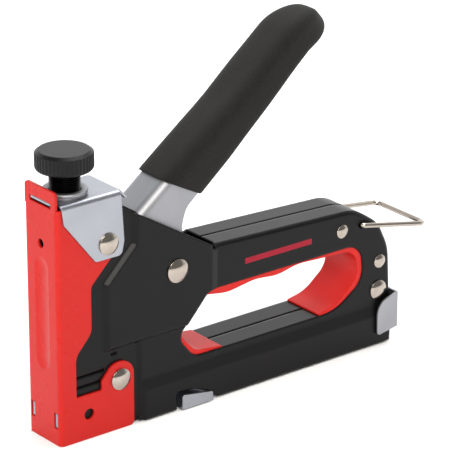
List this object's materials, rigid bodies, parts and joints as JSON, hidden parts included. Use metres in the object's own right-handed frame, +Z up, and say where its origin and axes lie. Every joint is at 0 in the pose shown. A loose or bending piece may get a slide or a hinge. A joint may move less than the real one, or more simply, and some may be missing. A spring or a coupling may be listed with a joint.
{
  "type": "staple gun",
  "caption": "Hand staple gun: black steel body with finger opening, red nose cap, adjusting knob, foam-gripped squeeze lever, wire lock bail and pull-out magazine.",
  "frame": {"origin": "middle of the nose's front edge, on the face that is pressed on the work", "axes": "+X from the nose to the rear, +Y to the tool's right side, +Z up"},
  "size_m": [0.1986, 0.0346, 0.1632],
  "materials": {
    "black_painted_steel": "semi-gloss",
    "red_painted_steel": "gloss",
    "zinc_plated_steel": "satin",
    "satin_steel": "satin",
    "nickel_plated_steel": "polished",
    "black_moulded_nylon": "satin",
    "black_oxide_steel": "oiled",
    "red_moulded_plastic": "satin",
    "foam_rubber": "matt",
    "spring_steel": "drawn",
    "hardened_steel": "ground",
    "buffer_rubber": "matt"
  },
  "bodies": {
    "body": {"shell_left": "black_painted_steel", "shell_right": "black_painted_steel", "nose_cap": "red_painted_steel", "front_guide_plate": "zinc_plated_steel", "top_bracket": "zinc_plated_steel", "collar_nut": "satin_steel", "bracket_rivets": "nickel_plated_steel", "nose_rivet": "nickel_plated_steel", "lever_pivot_pin": "nickel_plated_steel", "rear_handle_rivets": "nickel_plated_steel", "rear_base_rivet": "nickel_plated_steel", "rear_spacers": "hardened_steel", "pivot_washers": "hardened_steel", "handle_liner": "red_moulded_plastic", "front_liner": "red_moulded_plastic", "return_spring": "spring_steel", "plunger_guides": "hardened_steel", "buffer_pad": "buffer_rubber", "staple_channel": "zinc_plated_steel"},
    "lever": {"lever": "satin_steel", "lever_grip": "foam_rubber", "lift_arm": "hardened_steel", "arm_pin": "hardened_steel", "arm_spacers": "hardened_steel"},
    "plunger": {"plunger": "hardened_steel", "driver_blade": "hardened_steel", "blade_pins": "hardened_steel", "main_spring": "spring_steel"},
    "spring_seat": {"spring_seat": "hardened_steel"},
    "adjuster": {"adjusting_screw": "black_oxide_steel", "knob": "black_moulded_nylon"},
    "bail": {"bail_wire": "nickel_plated_steel"},
    "magazine": {"pusher_rail": "zinc_plated_steel", "spring_rod": "hardened_steel", "rear_latch": "satin_steel"},
    "pusher": {"pusher": "hardened_steel", "pusher_spring": "spring_steel"}
  },
  "joints": [
    {"name": "lever_pivot", "type": "hinge", "parent": "body", "child": "lever", "pos_m": [0.0612, 0, 0.0648], "axis": [0, 1, 0], "range_deg": [0, 43], "stiffness_Nm_per_rad": 4, "springref_deg": -17.19, "deforming": ["return_spring"]},
    {"name": "plunger_lift", "type": "slide", "parent": "body", "child": "plunger", "axis": [0, 0, 1], "range_m": [0, 0.0272], "deforming": ["main_spring"]},
    {"name": "seat_slide", "type": "slide", "parent": "body", "child": "spring_seat", "axis": [0, 0, 1], "range_m": [-0.003, 0.0075]},
    {"name": "knob_turn", "type": "hinge", "parent": "spring_seat", "child": "adjuster", "pos_m": [0.0126, 0, 0.1], "axis": [0, 0, 1], "range_deg": [-1080.1, 2700.1]},
    {"name": "bail_pivot", "type": "hinge", "parent": "body", "child": "bail", "pos_m": [0.1642, 0, 0.0601], "axis": [0, 1, 0], "range_deg": [-104, 44]},
    {"name": "magazine_slide", "type": "slide", "parent": "body", "child": "magazine", "axis": [1, 0, 0], "range_m": [0, 0.12]},
    {"name": "pusher_slide", "type": "slide", "parent": "magazine", "child": "pusher", "axis": [1, 0, 0], "range_m": [0, 0.1], "stiffness_N_per_m": 25, "springref_m": -0.06, "deforming": ["pusher_spring"]}
  ],
  "couplings": [
    {"joint": "plunger_lift", "follows": "lever_pivot", "m_per_rad": 0.036138},
    {"joint": "knob_turn", "follows": "seat_slide", "rad_per_m": 6283.2}
  ]
}
